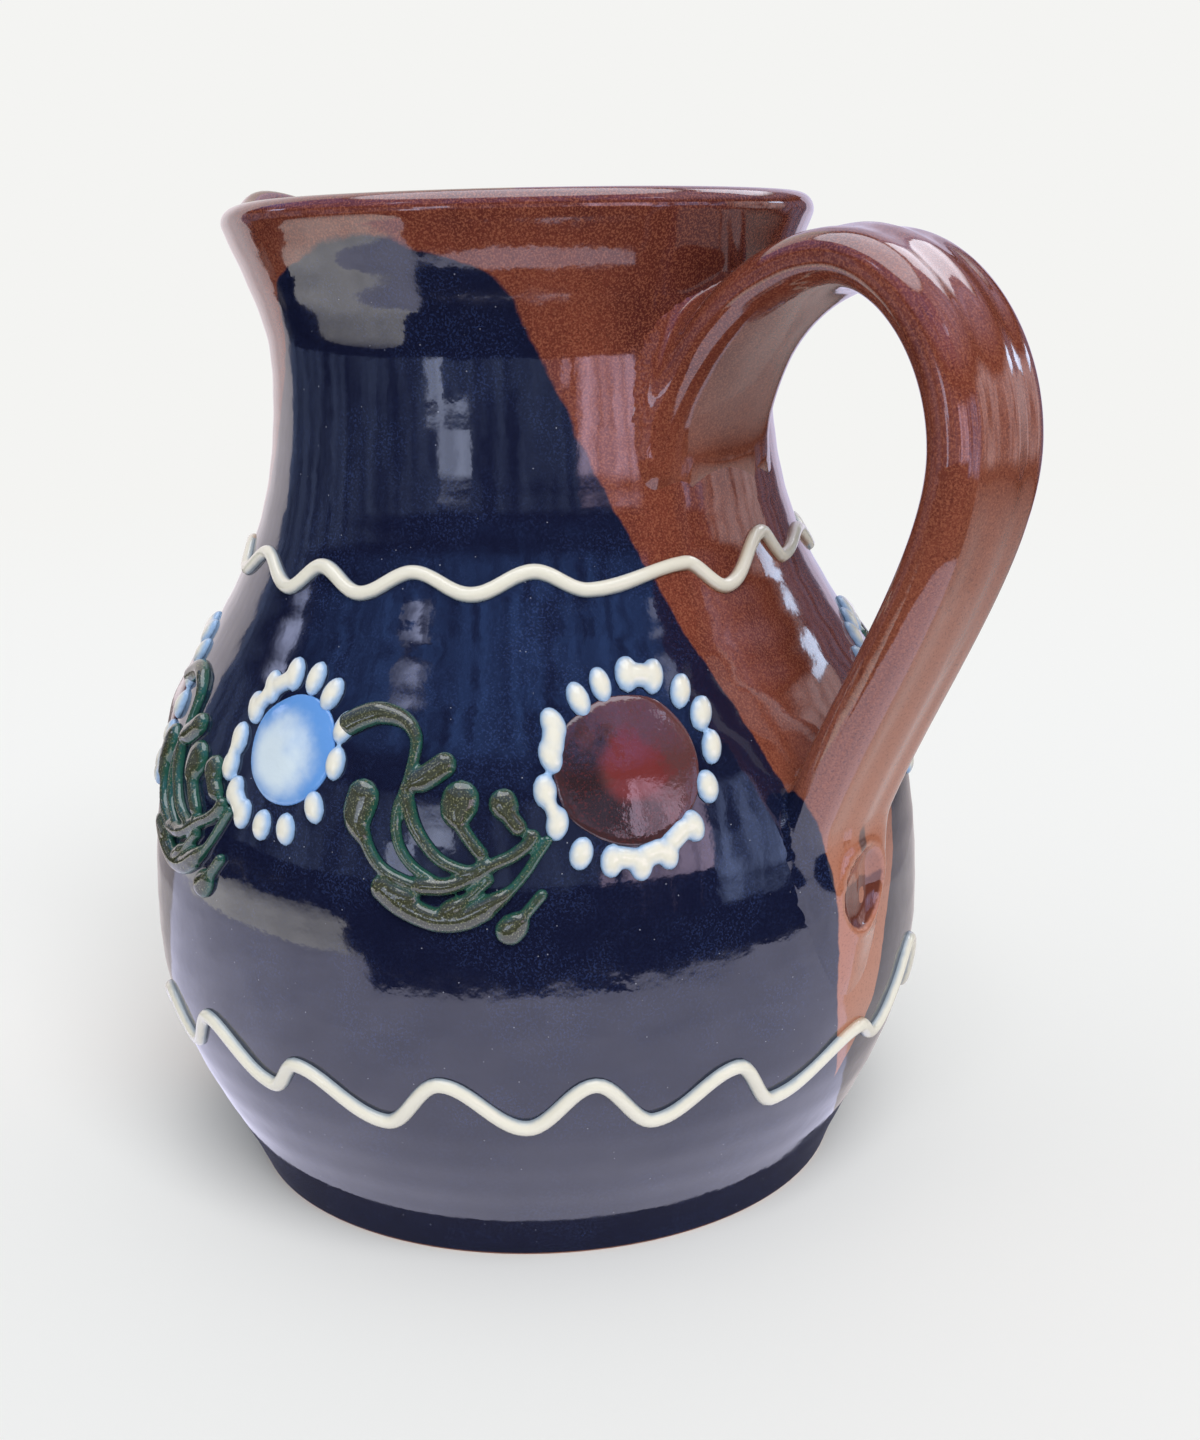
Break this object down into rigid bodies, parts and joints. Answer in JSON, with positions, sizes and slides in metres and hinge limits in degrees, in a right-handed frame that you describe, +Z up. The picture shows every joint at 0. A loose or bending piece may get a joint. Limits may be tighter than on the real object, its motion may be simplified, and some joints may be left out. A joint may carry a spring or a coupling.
{
  "type": "jug",
  "caption": "Round-bellied earthenware jug with a flared neck, a pulled pouring lip and a strap handle, for holding and pouring drinks, with flowers and wavy lines in slip.",
  "frame": {"origin": "middle of the flat foot, on the surface that the jug stands on", "axes": "+Z up along the body's axis, +X towards the handle, -X towards the pouring lip"},
  "size_m": [0.1777, 0.1485, 0.1846],
  "materials": {
    "body_glaze": "near-black blue glaze over brown iron glaze, high gloss",
    "handle_glaze": "speckled brown iron glaze, high gloss",
    "white_slip": "cream-white slip under clear glaze, bluish at its edges",
    "red_slip": "mottled maroon slip under clear glaze",
    "blue_slip": "white slip bleeding to sky blue under clear glaze",
    "leaf_slip": "olive-green slip under clear glaze"
  },
  "bodies": {
    "root": {"jug_body": "body_glaze", "handle": "handle_glaze", "upper_wave_trail": "white_slip", "lower_wave_trail": "white_slip", "left_flower_1_centre": "red_slip", "left_flower_1_petals_1": "white_slip", "left_flower_1_petals_2": "white_slip", "left_flower_1_petals_3": "white_slip", "left_flower_1_petals_4": "white_slip", "left_flower_1_petals_5": "white_slip", "left_flower_1_petals_6": "white_slip", "left_flower_2_centre": "blue_slip", "left_flower_2_petals_1": "white_slip", "left_flower_2_petals_2": "white_slip", "left_flower_2_petals_3": "white_slip", "left_flower_2_petals_4": "white_slip", "left_flower_2_petals_5": "white_slip", "left_flower_3_centre": "red_slip", "left_flower_3_petals_1": "white_slip", "left_flower_3_petals_2": "white_slip", "left_flower_3_petals_3": "white_slip", "left_flower_3_petals_4": "white_slip", "left_flower_3_petals_5": "white_slip", "left_flower_3_petals_6": "white_slip", "left_spray_1_stems": "leaf_slip", "left_spray_1_bud": "leaf_slip", "left_spray_1_drop": "leaf_slip", "left_spray_2_stems": "leaf_slip", "left_spray_2_bud": "leaf_slip", "left_spray_2_drop": "leaf_slip", "right_flower_1_centre": "red_slip", "right_flower_1_petals_1": "white_slip", "right_flower_1_petals_2": "white_slip", "right_flower_1_petals_3": "white_slip", "right_flower_1_petals_4": "white_slip", "right_flower_1_petals_5": "white_slip", "right_flower_1_petals_6": "white_slip", "right_flower_2_centre": "blue_slip", "right_flower_2_petals_1": "white_slip", "right_flower_2_petals_2": "white_slip", "right_flower_2_petals_3": "white_slip", "right_flower_2_petals_4": "white_slip", "right_flower_2_petals_5": "white_slip", "right_flower_3_centre": "red_slip", "right_flower_3_petals_1": "white_slip", "right_flower_3_petals_2": "white_slip", "right_flower_3_petals_3": "white_slip", "right_flower_3_petals_4": "white_slip", "right_flower_3_petals_5": "white_slip", "right_flower_3_petals_6": "white_slip", "right_spray_1_stems": "leaf_slip", "right_spray_1_bud": "leaf_slip", "right_spray_1_drop": "leaf_slip", "right_spray_2_stems": "leaf_slip", "right_spray_2_bud": "leaf_slip", "right_spray_2_drop": "leaf_slip"}
  },
  "joints": []
}
